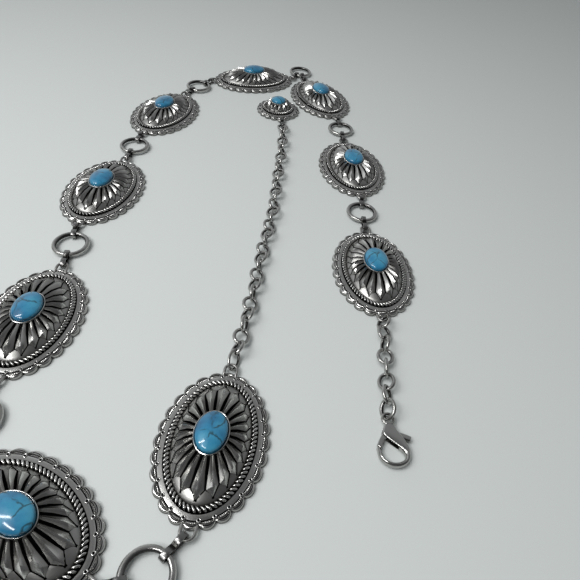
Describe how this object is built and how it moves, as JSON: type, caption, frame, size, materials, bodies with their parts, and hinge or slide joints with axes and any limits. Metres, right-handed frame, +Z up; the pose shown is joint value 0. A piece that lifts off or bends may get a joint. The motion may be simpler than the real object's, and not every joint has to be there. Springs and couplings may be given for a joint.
{
  "type": "concho belt",
  "caption": "Concho belt of oval cast discs with turquoise-coloured cabochons, joined by rings and strip links, with a lobster clasp and an extender chain.",
  "frame": {"origin": "centre of the laid-out belt's box, on the surface it lies on", "axes": "+Z up; +Y away from the viewer, from the nearest discs to the farthest; +X to the viewer's right"},
  "size_m": [0.1888, 0.3906, 0.0119],
  "materials": {
    "cast_silver": "antique silver-coloured casting, near-black in the recesses and bright on the ridges",
    "turquoise_stone": "polished turquoise-coloured stone with dark veins",
    "nickel_wire": "polished nickel-coloured plating",
    "clasp_nickel": "polished nickel-coloured plating"
  },
  "bodies": {
    "belt": {"clasp_body": "clasp_nickel", "clasp_chain": "nickel_wire", "concho_1": "cast_silver", "concho_2": "cast_silver", "concho_3": "cast_silver", "concho_4": "cast_silver", "concho_5": "cast_silver", "concho_6": "cast_silver", "concho_7": "cast_silver", "concho_8": "cast_silver", "concho_9": "cast_silver", "stone_1": "turquoise_stone", "stone_2": "turquoise_stone", "stone_3": "turquoise_stone", "stone_4": "turquoise_stone", "stone_5": "turquoise_stone", "stone_6": "turquoise_stone", "stone_7": "turquoise_stone", "stone_8": "turquoise_stone", "stone_9": "turquoise_stone", "ring_1": "nickel_wire", "ring_2": "nickel_wire", "ring_3": "nickel_wire", "ring_4": "nickel_wire", "ring_5": "nickel_wire", "ring_6": "nickel_wire", "ring_7": "nickel_wire", "ring_8": "nickel_wire", "connector_1a": "nickel_wire", "connector_1b": "nickel_wire", "connector_2a": "nickel_wire", "connector_2b": "nickel_wire", "connector_3a": "nickel_wire", "connector_3b": "nickel_wire", "connector_4a": "nickel_wire", "connector_4b": "nickel_wire", "connector_5a": "nickel_wire", "connector_5b": "nickel_wire", "connector_6a": "nickel_wire", "connector_6b": "nickel_wire", "connector_7a": "nickel_wire", "connector_7b": "nickel_wire", "connector_8a": "nickel_wire", "connector_8b": "nickel_wire", "bail": "nickel_wire", "extender_chain": "nickel_wire", "connector_drop": "nickel_wire", "drop_concho": "cast_silver", "drop_stone": "turquoise_stone"},
    "lever": {"clasp_lever": "clasp_nickel"}
  },
  "joints": [
    {"name": "clasp_lever_pivot", "type": "hinge", "parent": "belt", "child": "lever", "pos_m": [0.0782, -0.1255, 0.0018], "axis": [0, 0, 1], "range_deg": [0, 22], "stiffness_Nm_per_rad": 0.02, "springref_deg": -11.46}
  ]
}
